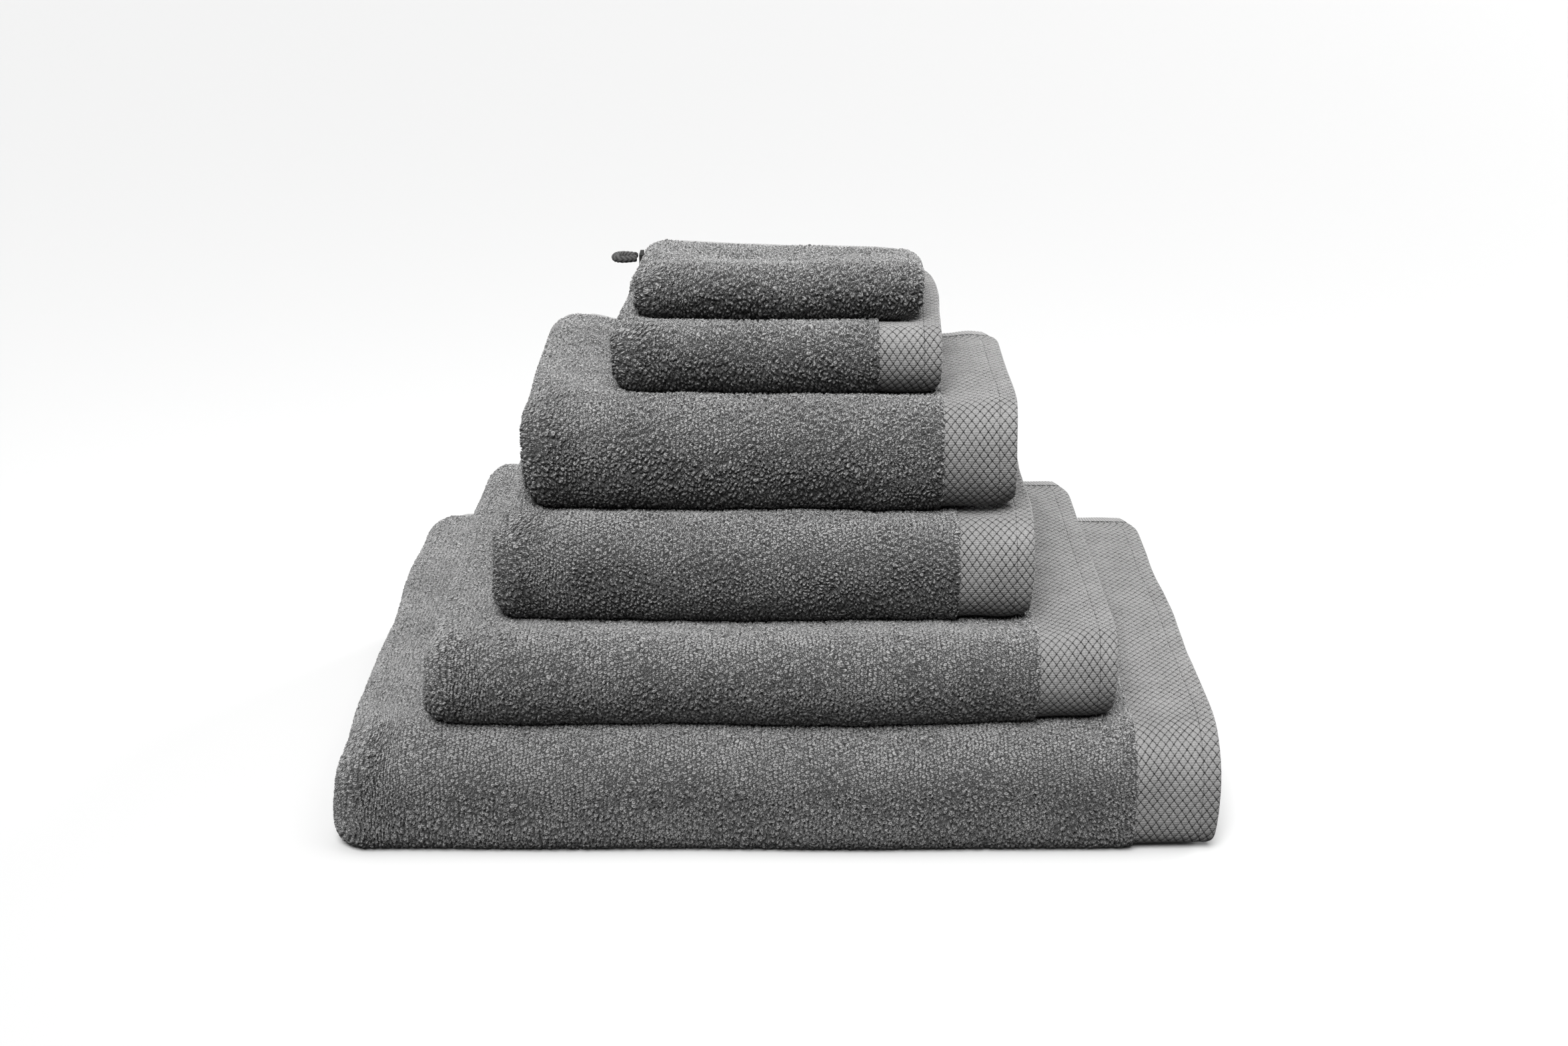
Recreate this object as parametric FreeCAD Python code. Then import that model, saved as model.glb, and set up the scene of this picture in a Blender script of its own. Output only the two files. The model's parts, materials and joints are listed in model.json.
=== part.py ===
import FreeCAD, Part
import math
import os

# A bath towel set: five folded terry towels and a folded wash mitt, stacked from the largest to the
# smallest. X runs along the folded length, Y from the front folds to the back, Z up, in millimetres.
# The origin is under the middle of the bath sheet, on the surface that the stack stands on.
#
# Every towel is folded twice in half along its length and then in three across its width. So one
# smooth fold wraps the whole front, the woven border with its end hem wraps the right-hand end, and
# the free long edge with its side hem lies along the top at the back.

# Folded sizes and places. "left" and "front" are the lowest X and Y of each folded piece.
TOWELS = {
    "bath_sheet": {
        "width": 450.0, "depth": 333.0, "height": 64.0, "left": -225.0, "front": -166.5, "band": 43.0,
    },
    "bath_towel": {
        "width": 350.0, "depth": 270.0, "height": 47.0, "left": -177.0, "front": -157.5, "band": 41.0,
    },
    "large_hand_towel": {
        "width": 273.0, "depth": 200.0, "height": 54.0, "left": -142.0, "front": -132.5, "band": 39.0,
    },
    "small_hand_towel": {
        "width": 250.0, "depth": 167.0, "height": 56.0, "left": -128.0, "front": -114.5, "band": 38.0,
    },
    "guest_towel": {
        "width": 167.0, "depth": 150.0, "height": 35.0, "left": -82.0, "front": -91.5, "band": 33.0,
    },
}
MITT = {"width": 147.0, "depth": 100.0, "height": 28.0, "left": -72.0, "front": -73.5}

STACK_GAP = 0.3  # between one folded piece and the next

# The fold and the layers at the woven end
TOWEL_FRONT_ROUND = 0.42  # radius of the front fold's corners, as a share of the height
MITT_FRONT_ROUND = 0.5
BACK_FOLD = 1.0 / 3.0  # radius of the back fold, which holds two of the three panels
BACK_FOLD_END = math.radians(50.0)  # where the back fold tucks under the top panel
BORDER_INSET = 1.0  # the flat weave lies this much below the terry loops
BORDER_THICK = 2.5
CORE_SHORT = 4.0  # the plies inside stop this far before the hemmed edge
END_HEM_WIDE = 9.0
INNER_HEM_BACK = 3.0  # the second ply's hem stops this far behind the outer one
SIDE_HEM_WIDE = 10.0
SIDE_HEM_THICK = 3.5
LEFT_FRONT_ROUND = 16.0
LEFT_BACK_ROUND = 26.0
LEFT_EDGE_ROUND = 0.3  # radius along the left end's top and bottom, as a share of the height

# The wash mitt: two panels sewn face to face, turned, and folded once over the front
MITT_PLY = 6.9
MITT_SEAM_WIDE = 4.0
MITT_SEAM_INSET = 1.2
CUFF_HEM_DEEP = 14.0
CUFF_SLIT = 0.2  # half of the gap between the two halves of the folded mitt

# The knitted hanging loop, its route seen from above and starting at its hinge line
CORD_DIAMETER = 3.8
CORD_ROUTE = [
    (0.0, -3.2), (-4.3, -6.2), (-9.8, -5.6), (-11.6, 0.2), (-9.7, 5.7), (-4.2, 6.1), (0.0, 3.2),
]
CORD_RUN_SHARE = 0.45
LOOP_Y = 68.0  # behind the mitt's front fold
LOOP_Z = 18.0  # above the mitt's underside
TACK_LONG = 2.0
TACK_WIDE = 12.5
TACK_HIGH = 5.0
TACK_GAP = 0.3


def vec(x, y, z):
    return FreeCAD.Vector(x, y, z)


def line(a, b):
    return Part.LineSegment(a, b).toShape()


def arc(centre, radius, start, end):
    """An arc in a plane of constant X, about a centre, from one angle to another in radians."""
    angles = (start, (start + end) / 2, end)
    a, b, c = [centre + vec(0, radius * math.cos(t), radius * math.sin(t)) for t in angles]
    return Part.Arc(a, b, c).toShape()


def joined(edges):
    """Edges in order, with straight lines across the gaps between them, as one closed face."""
    whole = []
    for i, edge in enumerate(edges):
        whole.append(edge)
        end = last_point(edge)
        start = first_point(edges[(i + 1) % len(edges)])
        if end.distanceToPoint(start) > 1e-6:
            whole.append(line(end, start))
    return Part.Face(Part.Wire(whole))


def first_point(edge):
    return edge.valueAt(edge.FirstParameter)


def last_point(edge):
    return edge.valueAt(edge.LastParameter)


def along_x(face, length):
    return face.extrude(vec(length, 0, 0))


def front_fold(piece, inset):
    """The two rounded corners of the front fold, from its top to its bottom, inset by some plies."""
    x, front, base, high = piece["left"], piece["front"], piece["base"], piece["height"]
    corner = piece["front_round"] * high
    upper = vec(x, front + corner, base + high - corner)
    lower = vec(x, front + corner, base + corner)
    radius = corner - inset
    return [arc(upper, radius, math.pi / 2, math.pi), arc(lower, radius, math.pi, 1.5 * math.pi)]


def reverse(edges):
    """The same arcs, walked the other way."""
    turned = []
    for edge in reversed(edges):
        middle = edge.valueAt((edge.FirstParameter + edge.LastParameter) / 2)
        turned.append(Part.Arc(last_point(edge), middle, first_point(edge)).toShape())
    return turned


def wrap(piece, outer, inner, top_back, bottom_back):
    """The section of a layer that wraps over the front fold, between two insets."""
    x, base, high = piece["left"], piece["base"], piece["height"]
    top = [
        line(vec(x, top_back, base + high - inner), vec(x, top_back, base + high - outer)),
    ]
    bottom = [
        line(vec(x, bottom_back, base + outer), vec(x, bottom_back, base + inner)),
    ]
    return joined(top + front_fold(piece, outer) + bottom + reverse(front_fold(piece, inner)))


def pack(piece, inset, hem_deep, hem_thick):
    """The closed section of the folded plies, with a rebate at the back for the side hem."""
    x, base, high = piece["left"], piece["base"], piece["height"]
    back = piece["front"] + piece["depth"] - inset
    fold = BACK_FOLD * high
    centre = vec(x, piece["front"] + piece["depth"] - fold, base + fold)
    tuck = base + fold + (fold - inset) * math.sin(BACK_FOLD_END)
    top = base + high - inset
    edges = front_fold(piece, inset)
    edges.append(arc(centre, fold - inset, -math.pi / 2, BACK_FOLD_END))
    edges.append(line(vec(x, back, tuck), vec(x, back, top - hem_thick)))
    if hem_deep:
        edges.append(line(vec(x, back - hem_deep, top - hem_thick), vec(x, back - hem_deep, top)))
    return joined(edges)


def plan_with_round_left(piece, length):
    """The folded piece seen from above, with its left-hand corners rounded, as a tall solid."""
    x0, y0 = piece["left"], piece["front"]
    x1, y1 = x0 + length, y0 + piece["depth"]
    z = piece["base"]
    near, far = LEFT_FRONT_ROUND, LEFT_BACK_ROUND
    slope = 1 - math.sqrt(0.5)
    front_middle = vec(x0 + near * slope, y0 + near * slope, z)
    back_middle = vec(x0 + far * slope, y1 - far * slope, z)
    front = Part.Arc(vec(x0, y0 + near, z), front_middle, vec(x0 + near, y0, z))
    back = Part.Arc(vec(x0 + far, y1, z), back_middle, vec(x0, y1 - far, z))
    right = line(vec(x1, y0, z), vec(x1, y1, z))
    return joined([front.toShape(), right, back.toShape()]).extrude(vec(0, 0, piece["height"]))


def side_with_round_left(piece, length):
    """The folded piece seen from the front, with its left-hand edges rounded, as a deep solid."""
    x0, z0, y = piece["left"], piece["base"], piece["front"]
    x1, z1 = x0 + length, z0 + piece["height"]
    r = LEFT_EDGE_ROUND * piece["height"]
    slope = 1 - math.sqrt(0.5)
    low = Part.Arc(vec(x0, y, z0 + r), vec(x0 + r * slope, y, z0 + r * slope), vec(x0 + r, y, z0))
    high = Part.Arc(vec(x0 + r, y, z1), vec(x0 + r * slope, y, z1 - r * slope), vec(x0, y, z1 - r))
    right = line(vec(x1, y, z0), vec(x1, y, z1))
    return joined([low.toShape(), right, high.toShape()]).extrude(vec(0, piece["depth"], 0))


def terry(piece):
    """The looped cloth: the folded pack, and its inner plies inside the woven end."""
    length = piece["width"] - piece["band"]
    whole = along_x(pack(piece, 0.0, SIDE_HEM_WIDE, SIDE_HEM_THICK), length)
    whole = whole.common(plan_with_round_left(piece, length))
    whole = whole.common(side_with_round_left(piece, length))
    layers = 2 if piece["inner_border"] else 1
    core_inset = BORDER_INSET + layers * BORDER_THICK
    core = along_x(pack(piece, core_inset, 0.0, 0.0), piece["band"] - CORE_SHORT)
    core.translate(vec(length, 0, 0))
    return whole.fuse(core).removeSplitter()


def woven_layer(piece, layer, start, end):
    """One wrap of the flat weave, between two distances from the left end."""
    outer = BORDER_INSET + layer * BORDER_THICK
    back = piece["front"] + piece["depth"]
    bottom_back = back - BACK_FOLD * piece["height"]
    section = wrap(piece, outer, outer + BORDER_THICK, back - SIDE_HEM_WIDE, bottom_back)
    solid = along_x(section, end - start)
    solid.translate(vec(start, 0, 0))
    return solid


def side_hem(piece):
    """The turned long edge of the cloth, along the back of the top panel."""
    back = piece["front"] + piece["depth"]
    top = piece["base"] + piece["height"]
    start = piece["left"] + LEFT_BACK_ROUND
    long = piece["width"] - LEFT_BACK_ROUND
    corner = vec(start, back - SIDE_HEM_WIDE, top - SIDE_HEM_THICK)
    return Part.makeBox(long, SIDE_HEM_WIDE, SIDE_HEM_THICK, corner)


def towel_nodes(name, piece):
    wide = piece["width"]
    start = wide - piece["band"]
    outer_end = wide - END_HEM_WIDE
    nodes = {
        "terry": terry(piece),
        "border": woven_layer(piece, 0, start, outer_end),
        "end_hem": woven_layer(piece, 0, outer_end, wide),
        "side_hem": side_hem(piece),
    }
    if piece["inner_border"]:
        inner_edge = wide - INNER_HEM_BACK
        inner_end = inner_edge - END_HEM_WIDE
        nodes["inner_border"] = woven_layer(piece, 1, start, inner_end)
        nodes["inner_end_hem"] = woven_layer(piece, 1, inner_end, inner_edge)
    return {f"{name}_{part}": solid for part, solid in nodes.items()}


def mitt_panel(piece, outer, start, end):
    """One panel of the mitt, folded once over the front."""
    back = piece["front"] + piece["depth"]
    section = wrap(piece, outer, outer + MITT_PLY, back - CUFF_HEM_DEEP, back)
    solid = along_x(section, end - start)
    solid.translate(vec(start, 0, 0))
    return solid


def mitt_nodes(piece):
    wide, seam = piece["width"], MITT_SEAM_WIDE
    back = piece["front"] + piece["depth"]
    middle = piece["base"] + piece["height"] / 2 + CUFF_SLIT
    seam_section = wrap(
        piece, MITT_SEAM_INSET, 2 * MITT_PLY - MITT_SEAM_INSET, back - CUFF_HEM_DEEP, back
    )
    right_seam = along_x(seam_section, seam)
    right_seam.translate(vec(wide - seam, 0, 0))
    cuff = []
    for layer in range(2):
        low = middle + layer * MITT_PLY
        corner = vec(piece["left"] + seam, back - CUFF_HEM_DEEP, low)
        cuff.append(Part.makeBox(wide - 2 * seam, CUFF_HEM_DEEP, MITT_PLY, corner))
    return {
        "wash_mitt_outer_panel": mitt_panel(piece, 0.0, seam, wide - seam),
        "wash_mitt_inner_panel": mitt_panel(piece, MITT_PLY, seam, wide - seam),
        "wash_mitt_left_seam": along_x(seam_section, seam),
        "wash_mitt_right_seam": right_seam,
        "wash_mitt_cuff_hem_outer": cuff[1],
        "wash_mitt_cuff_hem_inner": cuff[0],
    }


def cord_solid(points, diameter):
    """A tube along straight runs joined by tangent arcs, with round ends."""
    edges = []
    here = points[0]
    for before, corner, after in zip(points, points[1:], points[2:]):
        back, ahead = (before - corner), (after - corner)
        shorter = min(back.Length, ahead.Length)
        half_turn = (math.pi - back.getAngle(ahead)) / 2
        cut = CORD_RUN_SHARE * shorter
        radius = cut / math.tan(half_turn)
        back.normalize()
        ahead.normalize()
        start, end = corner + back * cut, corner + ahead * cut
        bisector = (back + ahead).normalize()
        middle = corner + bisector * (radius / math.cos(half_turn) - radius)
        edges += [line(here, start), Part.Arc(start, middle, end).toShape()]
        here = end
        print(f"hanging loop: arc radius {radius:.2f} mm")
    edges.append(line(here, points[-1]))
    path = Part.Wire(edges)
    first = points[1] - points[0]
    ring = Part.Wire(Part.makeCircle(diameter / 2, points[0], first))
    tube = path.makePipeShell([ring], True, False)
    expected = math.pi * diameter**2 / 4 * path.Length
    share = tube.Volume / expected
    print(f"hanging loop: length {path.Length:.2f} mm, volume {share:.4f} of section x length")
    for end in (points[0], points[-1]):
        tube = tube.fuse(Part.makeSphere(diameter / 2, end))
    return tube


def loop_nodes(piece):
    """The cord loop and the bar tack that holds its two ends to the mitt's left seam."""
    y = piece["front"] + LOOP_Y
    z = piece["base"] + LOOP_Z
    tack_corner = vec(piece["left"] - TACK_LONG, y - TACK_WIDE / 2, z - TACK_HIGH / 2)
    tack = Part.makeBox(TACK_LONG, TACK_WIDE, TACK_HIGH, tack_corner)
    hinge_x = piece["left"] - TACK_LONG - TACK_GAP - CORD_DIAMETER / 2
    points = [vec(hinge_x + dx, y + dy, z) for dx, dy in CORD_ROUTE]
    print(f"hanging loop: hinge at ({hinge_x:.2f}, {y:.2f}, {z:.2f})")
    return {"loop_bar_tack": tack, "hanging_loop": cord_solid(points, CORD_DIAMETER)}


def stacked():
    """The pieces from the bottom up, each with the height that it stands at."""
    base = 0.0
    pieces = {}
    for name, size in {**TOWELS, "wash_mitt": MITT}.items():
        front_round = TOWEL_FRONT_ROUND if name in TOWELS else MITT_FRONT_ROUND
        # the guest towel is folded in three along its length, so its second border is at the left inside
        inner_border = name != "guest_towel"
        pieces[name] = {**size, "base": base, "front_round": front_round, "inner_border": inner_border}
        base += size["height"] + STACK_GAP
    return pieces


def main():
    os.makedirs("parts", exist_ok=True)
    pieces = stacked()
    nodes = {}
    for name in TOWELS:
        nodes.update(towel_nodes(name, pieces[name]))
    nodes.update(mitt_nodes(pieces["wash_mitt"]))
    nodes.update(loop_nodes(pieces["wash_mitt"]))
    for name, solid in nodes.items():
        state = f"{len(solid.Solids)} solid, valid {solid.isValid()}"
        print(f"{name}: {state}, {solid.Volume / 1000:.1f} cm3")
        solid.exportStep(f"parts/{name}.step")


main()
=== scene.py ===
import json
import math

import bpy
import numpy as np
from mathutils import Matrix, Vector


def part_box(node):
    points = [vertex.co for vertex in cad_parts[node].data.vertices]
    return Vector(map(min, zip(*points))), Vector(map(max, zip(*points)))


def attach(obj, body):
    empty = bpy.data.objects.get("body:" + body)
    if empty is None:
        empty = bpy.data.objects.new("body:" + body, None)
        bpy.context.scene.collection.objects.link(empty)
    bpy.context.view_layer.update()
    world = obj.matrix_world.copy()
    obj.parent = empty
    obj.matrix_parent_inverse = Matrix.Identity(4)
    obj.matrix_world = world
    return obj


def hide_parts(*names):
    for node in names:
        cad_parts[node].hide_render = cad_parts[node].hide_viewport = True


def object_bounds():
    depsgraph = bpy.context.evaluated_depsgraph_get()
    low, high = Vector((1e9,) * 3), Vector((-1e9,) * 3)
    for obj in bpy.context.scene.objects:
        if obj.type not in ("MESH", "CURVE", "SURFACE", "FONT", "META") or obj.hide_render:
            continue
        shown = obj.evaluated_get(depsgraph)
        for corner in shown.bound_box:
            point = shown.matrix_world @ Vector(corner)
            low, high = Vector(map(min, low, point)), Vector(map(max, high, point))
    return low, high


# A stack of five folded terry towels and a folded wash mitt. Each towel is one sheet of cloth that
# runs along its real folds: first along its length, then across its width. A place in the cloth is
# its distance s from the hemmed end and its distance v from the side hem, and both fold maps turn
# that into a place in the stack.

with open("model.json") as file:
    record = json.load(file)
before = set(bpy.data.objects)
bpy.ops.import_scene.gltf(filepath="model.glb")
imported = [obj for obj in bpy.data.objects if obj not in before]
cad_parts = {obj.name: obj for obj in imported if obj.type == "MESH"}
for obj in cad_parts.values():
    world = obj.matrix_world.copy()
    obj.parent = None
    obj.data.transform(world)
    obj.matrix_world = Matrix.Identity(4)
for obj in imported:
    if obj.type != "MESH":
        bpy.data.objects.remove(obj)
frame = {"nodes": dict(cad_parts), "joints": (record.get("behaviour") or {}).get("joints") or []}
cad_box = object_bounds()

MM = 0.001

# ---- Sizes ----

# "flat" is the cut size of the cloth in metres. "plies" is the order that it passes through the pack,
# counted from the pack's inner face, and "panels" is how often the pack is folded across its width.
# "seed" picks its loops and waves, "rough" is how ruffled the loops get, and "step" is the grid of the
# faces that show. "square" is the shape of the front fold's upper and lower half: 2 is round and more
# is squarer. "skew" is how far the pack's back goes back at the left and comes forward at the right.
# "rise" is how much higher its back lies at the left and at the right. "set_back" is how far the front
# of the woven end stands back. "round" is how high the fold's upper left end is rounded. "tuck" is how
# far in from the front's left end the top's left end lies. "dent" is how deep the top's middle lies.
TOWELS = {
    "bath_sheet": {
        "flat": (1.00, 1.80), "plies": (3, 0, 1, 2), "panels": 3,
        "seed": 3, "rough": 0.45, "step": 0.66 * MM, "square": (2.4, 4.2),
        "skew": 3 * MM, "rise": (3.5 * MM, 2.5 * MM), "set_back": 2 * MM,
        "round": 26 * MM, "tuck": 6 * MM,
    },
    "bath_towel": {
        "flat": (0.70, 1.40), "plies": (3, 0, 1, 2), "panels": 3,
        "seed": 11, "rough": 0.5, "step": 0.62 * MM, "square": (2.4, 1.8),
        "skew": 11 * MM, "rise": (6 * MM, -1 * MM), "set_back": 8 * MM,
        "round": 12 * MM, "tuck": 3 * MM,
    },
    "large_hand_towel": {
        "flat": (0.60, 1.10), "plies": (3, 0, 1, 2), "panels": 3,
        "seed": 23, "rough": 0.8, "step": 0.6 * MM, "square": (2.4, 2.15),
        "skew": 5 * MM, "rise": (1 * MM, -1 * MM), "set_back": 1 * MM,
        "round": 12 * MM, "tuck": 0.5 * MM,
    },
    "small_hand_towel": {
        "flat": (0.50, 1.00), "plies": (3, 0, 1, 2), "panels": 3,
        "seed": 31, "rough": 0.85, "step": 0.58 * MM, "square": (2.4, 2.15),
        "skew": 9 * MM, "rise": (5.5 * MM, -2 * MM), "set_back": 0.0,
        "round": 12 * MM, "tuck": 1 * MM,
    },
    "guest_towel": {
        "flat": (0.30, 0.50), "plies": (2, 0, 1), "panels": 2,
        "seed": 43, "rough": 0.9, "step": 0.56 * MM, "square": (2.4, 1.9),
        "skew": 4 * MM, "rise": (0.0, -1 * MM), "set_back": 0.0,
        "round": 8 * MM, "tuck": 0.0,
    },
}
MITT = {
    "flat": (0.16, 0.21), "plies": (1, 0), "panels": 2,
    "seed": 53, "rough": 1.0, "step": 0.54 * MM, "square": (2.1, 1.9),
    "skew": 3 * MM, "rise": (-6 * MM, -11 * MM), "set_back": 0.0,
    "round": 10 * MM, "tuck": 1.5 * MM, "dent": 3 * MM,
}

# Terry
PILE = 2.5 * MM  # height of the loops
LOOP_PITCH = (1.9 * MM, 1.9 * MM)
LOOP_HALF = (0.47, 0.74)  # half of a loop's width and length, in pitches
LOW_LOOP = 0.88  # height of the lowest loop as a share of the highest
ROUGH_PATCH = 0.045  # how wide the rough patches are
PARTING = 0.004  # how far apart the lines are where the loops part
RAGGED, TUFT = 1.2 * MM, 4.5 * MM  # how far and how wide loops straggle out over the border

# Borders and hems
BORDER_HALF = 1.15 * MM  # half of the flat weave's thickness
HEM_HALF = 1.7 * MM
DIAMOND = (4.3 * MM, 5.8 * MM)
DIAMOND_GROOVE = 0.45 * MM
FLAT_WANDER = 0.15  # how far a flat weave's yarns wander, as a share of the terry's
SIDE_HEM = 10 * MM
HEM_RIB = 2.0 * MM  # pitch of the thread ribs across a turned hem
RIB_HEIGHT = 0.5 * MM
STITCH = 3.2 * MM
STITCH_ROW = 8.6 * MM  # how far in from the edge the side hem is sewn down
FURROW = 0.9 * MM
BORDER_UNDER = 2.5 * MM  # how far the border runs on under the loops

# How far each zone's face lies inside the face of its ply. The loops stand up from the terry's.
TERRY_IN = 1.1 * MM
BORDER_IN = 1.2 * MM
SIDE_HEM_IN = 1.0 * MM
HIDDEN_IN = 0.4 * MM
MITT_IN = 1.0 * MM
CUFF_IN = 1.4 * MM

# How far in the edges round off: the terry's at the border, at the side hem and at its last edge, and
# the hems' at their ends
BORDER_ROUND = 1.3 * MM
TERRY_ROUNDS = (1.6 * MM, 2 * MM)
END_ROUND, HEM_ROUND = 1.2 * MM, 1.5 * MM

# Folds
END_SHORT = 2.5 * MM  # how far the folds inside stop before the hemmed end
LAST_SHORT = 3 * MM  # how far the innermost end stops before it
FRONT_DEEP = 0.9  # the front fold's depth as a share of a half round
LAST_PANEL = 0.34  # how far behind the front the last panel ends, as a share of the height
BACK_SQUARE = (2.7, 2.7)
LEFT_FRONT_ROUND, LEFT_BACK_ROUND = 15 * MM, 28 * MM  # how long the corners' rounds are
RIGHT_BACK_ROUND, RIGHT_LOW_ROUND = 26 * MM, 9 * MM
END_SLANT = (1.2 * MM, 1.5 * MM)  # how far the woven end draws in at its front and stands out at its back

# Grids
ROUND_PLACES = (0.3 * MM, 0.8 * MM)  # extra places in from a rounded edge
HIDDEN_STEP = 12 * MM  # grid of the plies inside
HIDDEN_TURN = 3 * MM  # grid round the hidden folds
SIDE_STEP = 0.8 * MM  # grid along the folds at the sides of the lower panels
WEAVE_STEP = 0.9 * MM
RIB_STEP = 0.5 * MM

# Where the parts of a cloth lie in its bake map: left, low, wide and high
WHOLE_MAP = (0.0, 0.0, 0.98, 0.98)
TERRY_MAP = {
    "face": (0.0, 0.0, 0.98, 0.66), "turn": (0.0, 0.68, 0.98, 0.20), "fold": (0.0, 0.89, 0.98, 0.03),
    "inside": (0.0, 0.93, 0.98, 0.03), "last": (0.0, 0.965, 0.98, 0.03),
}
FACE_SHARE, UNDER_FROM = 0.93, 0.95  # where a part's face ends and its underside starts


# ---- Fold paths ----

class Path:
    """A line of straight runs and round turns in a plane, read by the distance along it."""

    def __init__(self, start):
        self.at = start
        self.parts = []
        self.ends = [0.0]

    @property
    def length(self):
        return self.ends[-1]

    def run(self, to):
        here = self.at
        long = math.hypot(to[0] - here[0], to[1] - here[1])
        self.parts.append(("run", here, to))
        self.ends.append(self.length + long)
        self.at = to

    def turn(self, centre, radius, start, sweep, measured, square=(2.0, 2.0), deep=1.0):
        """A turn of sweep radians about centre. measured is the radius that its length is read at."""
        self.parts.append(("turn", centre, radius, start, sweep, square, deep))
        self.ends.append(self.length + abs(sweep) * measured)
        end = start + sweep
        self.at = (centre[0] + radius * math.cos(end), centre[1] + radius * math.sin(end))

    def read(self, along):
        """Two coordinates and the two parts of the normal, for each distance."""
        out = np.zeros((4, len(along)))
        for i, part in enumerate(self.parts):
            low, high = self.ends[i], self.ends[i + 1]
            last = i == len(self.parts) - 1
            inside = (along >= low - 1e-9) & ((along < high) | last)
            if not inside.any():
                continue
            share = (along[inside] - low) / max(high - low, 1e-9)
            if part[0] == "run":
                out[:, inside] = self.on_run(part, share)
            else:
                out[:, inside] = self.on_turn(part, share)
        return out

    @staticmethod
    def on_run(part, share):
        _, a, b = part
        dx, dy = b[0] - a[0], b[1] - a[1]
        long, flat = math.hypot(dx, dy), np.ones_like(share)
        return np.array([a[0] + dx * share, a[1] + dy * share, dy / long * flat, -dx / long * flat])

    @staticmethod
    def on_turn(part, share):
        _, centre, radius, start, sweep, square, deep = part
        angle = start + sweep * share
        c, s = np.cos(angle), np.sin(angle)
        power = np.where(s > 0, *square)
        fuller = (np.abs(c) ** power + np.abs(s) ** power) ** (-1 / power)
        side = math.copysign(1.0, sweep)
        out = np.array([c * fuller * deep, s * fuller])
        x, y = centre[0] + radius * out[0], centre[1] + radius * out[1]
        return np.array([x, y, side * out[0], side * out[1]])


HALF_TURN = math.pi
UP, DOWN = math.pi / 2, 1.5 * math.pi


def length_path(towel):
    """The cloth's path through the pack, in X and in height above the pack's inner face."""
    t, order = towel["ply"], towel["plies"]
    high = [(i + 0.5) * t for i in order]
    widest = max(abs(a - b) for a, b in zip(order, order[1:])) * t / 2
    left = towel["left"] + widest + t / 2
    path = Path((towel["right"], high[0]))
    for i, (a, b) in enumerate(zip(high, high[1:])):
        radius, at_left = abs(a - b) / 2, i % 2 == 0
        x = left if at_left else towel["right"] - END_SHORT - radius - t / 2
        sweep = math.copysign(HALF_TURN, a - b if at_left else b - a)
        path.run((x, a))
        path.turn((x, (a + b) / 2), radius, UP if b < a else DOWN, sweep, radius + t / 2)
    end = towel["right"] - LAST_SHORT if len(high) % 2 == 0 else left + t
    path.run((end, high[-1]))
    return path


def width_path(towel):
    """The pack's path round its folds, in Y and Z, at its inner face, from the back of the top panel."""
    pack, high = towel["pack"], towel["height"]
    base, back = towel["base"], towel["back"]
    centre = (towel["front"] + FRONT_DEEP * high / 2, base + high / 2)
    inner = high / 2 - pack
    path = Path((back, base + high - pack))
    path.run((centre[0], base + high - pack))
    path.turn(centre, inner, UP, HALF_TURN, high / 2, towel["square"], FRONT_DEEP)
    if towel["panels"] == 2:
        path.run((back, base + pack))
        return path
    fold = back - pack
    path.run((fold, base + pack))
    path.turn((fold, base + pack), 0.0, DOWN, HALF_TURN, pack, BACK_SQUARE)
    path.run((towel["front"] + LAST_PANEL * high, base + pack))
    return path


# ---- How the soft stack settles ----

def smooth(low, high, x):
    """From 0 at low to 1 at high, with a soft start and end."""
    t = np.clip((x - low) / (high - low), 0, 1)
    return t * t * (3 - 2 * t)


def waves(seed, x, y, long):
    """Gentle uneven waves between about -1 and 1, of about this length."""
    rng = np.random.default_rng(seed)
    total = np.zeros(np.broadcast(x, y).shape)
    for _ in range(5):
        heading, phase = rng.uniform(0, 2 * math.pi, 2)
        pace = 2 * math.pi / (long * rng.uniform(0.7, 1.5))
        total = total + np.sin((x * math.cos(heading) + y * math.sin(heading)) * pace + phase)
    return total / 3


def ripple(seed, kinds, x, y, base=0.0):
    """Waves of several kinds on a base, each kind with its seed's offset, its height and its length."""
    return sum((height * waves(seed + offset, x, y, long) for offset, height, long in kinds), base)


def corner(near, reach):
    """How far a rounded corner draws an edge in, at a distance from the other edge."""
    left = reach - np.clip(near, 0, reach)
    return 0.6 * left**2 / reach


def outside(towel, x, y):
    """Distance outside a piece's outline seen from above, negative inside."""
    dx = np.maximum(towel["left"] - x, x - towel["right"])
    dy = np.maximum(towel["front"] - y, y - towel["back"])
    away = np.hypot(np.maximum(dx, 0), np.maximum(dy, 0))
    return away + np.minimum(np.maximum(dx, dy), 0)


SINK, SINK_REACH = 1.6 * MM, 14 * MM  # how deep a piece is pressed under the next one
PUFF, PUFF_REACH = 2.6 * MM, 26 * MM  # how far it swells beside the next one
TOP_WAVES = ((0, 0.7 * MM, 0.11), (4, 0.35 * MM, 0.03))  # seed's offset, height and length of each
DENT_AT, DENT_REACH = (0.42, 0.4), (0.3, 0.25)  # as shares of the width and of the depth
LEFT_REACH, RIGHT_REACH = 40 * MM, 45 * MM  # how far in from the two ends their own shape reaches
FRONT_REACH = 0.9  # the same from the front, as a share of the height
FOLD_OUT = 3.5 * MM  # how far the left end of the front fold stands out
END_WAVES = (1.2 * MM, 0.8 * MM)  # height of the waves in the left and the right end
FRONT_BULGE, FRONT_WAVES, BACK_WAVES = 1.2 * MM, 0.9 * MM, 1.3 * MM
HEM_DROP = 0.8 * MM  # how far the side hem hangs at the back


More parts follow.
